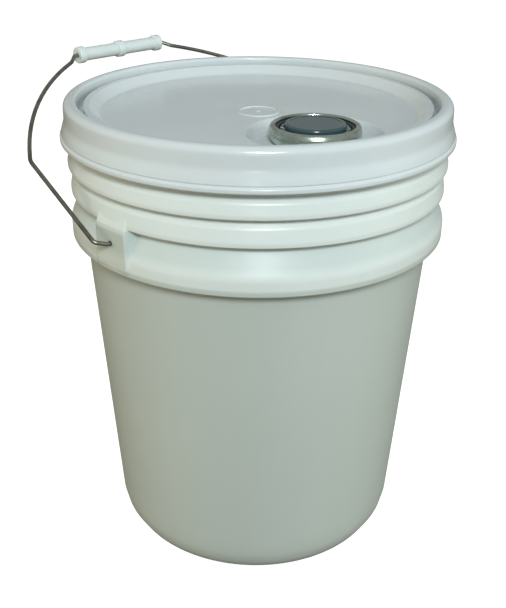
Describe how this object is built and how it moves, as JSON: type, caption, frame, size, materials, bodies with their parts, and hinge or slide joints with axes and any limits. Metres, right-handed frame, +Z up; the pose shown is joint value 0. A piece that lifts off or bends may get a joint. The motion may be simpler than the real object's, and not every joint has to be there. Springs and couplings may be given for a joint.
{
  "type": "lidded plastic pail",
  "caption": "Tapered plastic pail with a press-on lid, a pull-up pouring spout with a screw cap, and a wire bail with a turning grip.",
  "frame": {"origin": "centre of the base, on the surface the pail stands on", "axes": "+Z up; the bail turns about a line parallel to X through both ears; the bail leans towards +Y at rest, and the spout is on the -Y side"},
  "size_m": [0.321, 0.3301, 0.3975],
  "materials": {
    "pail_plastic": "satin, slightly translucent natural white",
    "lid_plastic": "soft gloss natural white",
    "gasket_rubber": "matt",
    "ring_steel": "bright tin-plated steel",
    "spout_plastic": "satin",
    "seal_plastic": "satin",
    "liner_foam": "matt foam",
    "cap_plastic": "glossy dark slate",
    "bail_steel": "drawn wire, dull",
    "grip_plastic": "milky, slightly translucent"
  },
  "bodies": {
    "pail": {"pail_body": "pail_plastic"},
    "lid": {"lid_cover": "lid_plastic", "lid_gasket": "gasket_rubber", "spout_crimp_ring": "ring_steel", "spout_collar": "spout_plastic", "spout_bellows": "spout_plastic"},
    "spout": {"spout_nozzle": "spout_plastic", "pour_seal": "seal_plastic"},
    "liner": {"cap_liner": "liner_foam"},
    "cap": {"spout_cap": "cap_plastic"},
    "handle_front": {"cap_handle_front": "cap_plastic"},
    "handle_back": {"cap_handle_back": "cap_plastic"},
    "bail": {"bail_wire": "bail_steel"},
    "grip": {"bail_grip": "grip_plastic"}
  },
  "joints": [
    {"name": "lid_lift", "type": "slide", "parent": "pail", "child": "lid", "axis": [0, 0, 1], "range_m": [0, 0.08]},
    {"name": "spout_pull", "type": "slide", "parent": "lid", "child": "spout", "axis": [0, 0, 1], "range_m": [0, 0.03], "deforming": ["spout_bellows"]},
    {"name": "cap_rise", "type": "slide", "parent": "spout", "child": "liner", "axis": [0, 0, 1], "range_m": [0, 0.0102]},
    {"name": "cap_turn", "type": "hinge", "parent": "liner", "child": "cap", "pos_m": [-0.02111, -0.07613, 0.3757], "axis": [0, 0, 1], "range_deg": [0, 900]},
    {"name": "front_handle_fold", "type": "hinge", "parent": "cap", "child": "handle_front", "pos_m": [-0.02234, -0.0773, 0.3711], "axis": [-0.6921, 0.7218, 0], "range_deg": [0, 88]},
    {"name": "back_handle_fold", "type": "hinge", "parent": "cap", "child": "handle_back", "pos_m": [-0.01988, -0.07495, 0.3711], "axis": [0.6921, -0.7218, 0], "range_deg": [0, 88]},
    {"name": "bail_swing", "type": "hinge", "parent": "pail", "child": "bail", "pos_m": [0, 0, 0.2987], "axis": [1, 0, 0], "range_deg": [-71, 194]},
    {"name": "grip_spin", "type": "hinge", "parent": "bail", "child": "grip", "pos_m": [0, 0.17098, 0.39057], "axis": [1, 0, 0], "continuous": true}
  ],
  "couplings": [
    {"joint": "cap_rise", "follows": "cap_turn", "m_per_rad": 0.00063662}
  ]
}
